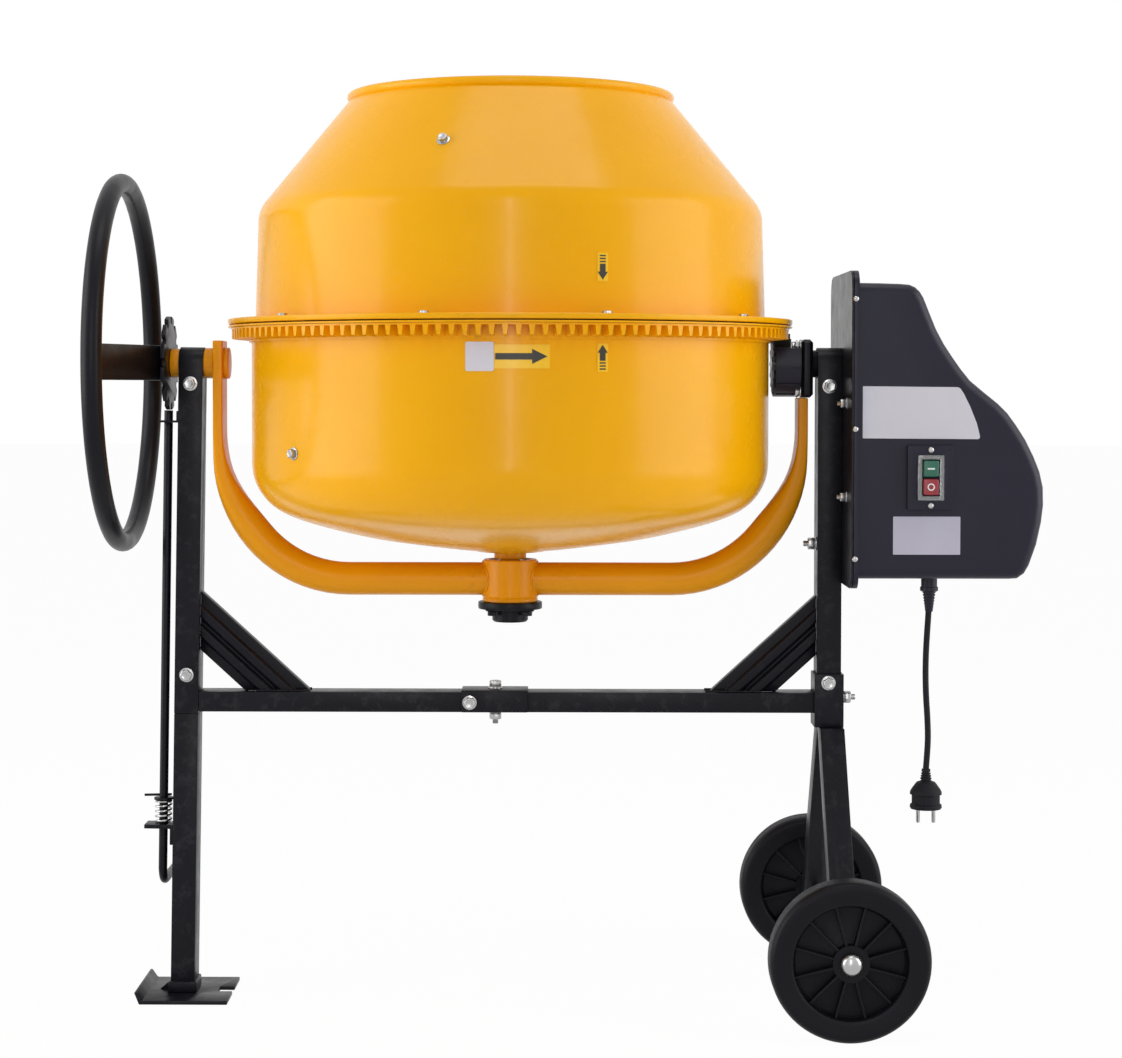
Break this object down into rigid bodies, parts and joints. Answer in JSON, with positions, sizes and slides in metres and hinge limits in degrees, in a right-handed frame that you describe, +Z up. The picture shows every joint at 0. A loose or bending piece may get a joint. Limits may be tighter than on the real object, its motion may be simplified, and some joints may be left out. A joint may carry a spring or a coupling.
{
  "type": "concrete mixer",
  "caption": "Tilting-drum concrete mixer: a bevel-gear driven yellow drum in a yoke, on a black tube stand with road wheels, a large tilt handwheel and an electric drive under a cover.",
  "frame": {"origin": "on the floor, under the middle of the machine's length, in the plane of the drum's axis", "axes": "+X runs along the tilt axis from the handwheel to the motor cover, +Y runs from the front (switch side) to the back, +Z is up"},
  "size_m": [1.1424, 0.7, 1.1258],
  "materials": {
    "yellow_paint": "glossy yellow paint over welded sheet steel",
    "orange_paint": "satin orange-yellow paint over steel tube",
    "black_paint": "satin black paint over steel",
    "black_plastic": "fine-grained moulded plastic, dark grey",
    "black_rubber": "matt black rubber",
    "zinc_steel": "bright zinc-plated steel",
    "bearing_steel": "ground bearing steel",
    "cast_iron": "dark cast iron with grease",
    "cast_aluminium": "die-cast aluminium",
    "nylon": "natural nylon",
    "green_plastic": "green moulded plastic",
    "red_plastic": "red moulded plastic",
    "clear_plastic": "clear moulded plastic frame"
  },
  "bodies": {
    "frame": {"left_post": "black_paint", "left_leg": "black_paint", "foot_plate": "black_paint", "left_crossbar": "black_paint", "right_crossbar": "black_paint", "crossbar_splice": "black_paint", "left_brace": "black_paint", "right_brace": "black_paint", "right_post": "black_paint", "stand_sleeve": "black_paint", "front_leg": "black_paint", "rear_leg": "black_paint", "axle": "zinc_steel", "left_bush": "nylon", "right_bush": "nylon", "motor_plate": "zinc_steel", "motor_cover": "black_plastic", "motor_housing": "cast_aluminium", "motor_bracket": "black_paint", "switch_box": "black_plastic", "switch_guard": "clear_plastic", "cord_gland": "black_plastic", "power_cord": "black_rubber", "plug": "black_rubber", "drive_belt": "black_rubber", "rod_guide": "black_paint", "spring_bracket": "black_paint", "rod_spring": "zinc_steel"},
    "cradle": {"yoke_hub": "orange_paint", "upper_bearing": "bearing_steel", "lower_bearing": "bearing_steel", "hub_flange": "black_paint", "hub_cap": "black_paint", "left_yoke_arm": "orange_paint", "right_yoke_arm": "orange_paint", "left_trunnion": "orange_paint", "tilt_collar": "orange_paint", "lock_disc": "black_paint", "handwheel_rim": "black_paint", "handwheel_strap": "black_paint", "bearing_block": "black_paint", "pinion_bearing": "bearing_steel", "pinion_guard": "black_plastic"},
    "drum": {"drum_bowl": "yellow_paint", "drum_cone": "yellow_paint", "ring_gear": "yellow_paint", "drum_seal": "black_rubber", "drum_spindle": "zinc_steel", "mixing_blade_a": "yellow_paint", "mixing_blade_b": "yellow_paint"},
    "pinion_shaft": {"pinion": "cast_iron", "drive_shaft": "zinc_steel", "large_pulley": "cast_aluminium"},
    "motor_shaft": {"motor_rotor": "zinc_steel", "motor_pulley": "zinc_steel"},
    "front_wheel": {"front_wheel": "black_plastic"},
    "rear_wheel": {"rear_wheel": "black_plastic"},
    "start_button": {"start_button": "green_plastic"},
    "stop_button": {"stop_button": "red_plastic"},
    "lock_rod": {"lock_rod": "black_paint"}
  },
  "joints": [
    {"name": "cradle_tilt", "type": "hinge", "parent": "frame", "child": "cradle", "pos_m": [-0.0757, 0, 0.792], "axis": [1, 0, 0], "range_deg": [-120, 120]},
    {"name": "drum_spin", "type": "hinge", "parent": "cradle", "child": "drum", "pos_m": [-0.0757, 0, 0.792], "axis": [0, 0, 1], "continuous": true},
    {"name": "pinion_spin", "type": "hinge", "parent": "cradle", "child": "pinion_shaft", "pos_m": [-0.0757, 0, 0.792], "axis": [1, 0, 0], "continuous": true},
    {"name": "rotor_spin", "type": "hinge", "parent": "frame", "child": "motor_shaft", "pos_m": [0.3863, 0, 0.62], "axis": [1, 0, 0], "continuous": true},
    {"name": "front_wheel_roll", "type": "hinge", "parent": "frame", "child": "front_wheel", "pos_m": [0.3243, -0.221, 0.0945], "axis": [0, 1, 0], "continuous": true},
    {"name": "rear_wheel_roll", "type": "hinge", "parent": "frame", "child": "rear_wheel", "pos_m": [0.3243, 0.221, 0.0945], "axis": [0, 1, 0], "continuous": true},
    {"name": "start_button_press", "type": "slide", "parent": "frame", "child": "start_button", "axis": [0, 1, 0], "range_m": [0, 0.003], "stiffness_N_per_m": 400, "springref_m": -0.002},
    {"name": "stop_button_press", "type": "slide", "parent": "frame", "child": "stop_button", "axis": [0, 1, 0], "range_m": [0, 0.003], "stiffness_N_per_m": 400, "springref_m": -0.002},
    {"name": "lock_rod_slide", "type": "slide", "parent": "frame", "child": "lock_rod", "axis": [-0.0157, 0, -0.9999], "range_m": [0, 0.014], "stiffness_N_per_m": 1500, "springref_m": -0.01, "deforming": ["rod_spring"]}
  ],
  "couplings": [
    {"joint": "pinion_spin", "follows": "drum_spin", "ratio": -10.286},
    {"joint": "rotor_spin", "follows": "drum_spin", "ratio": -65.143}
  ]
}
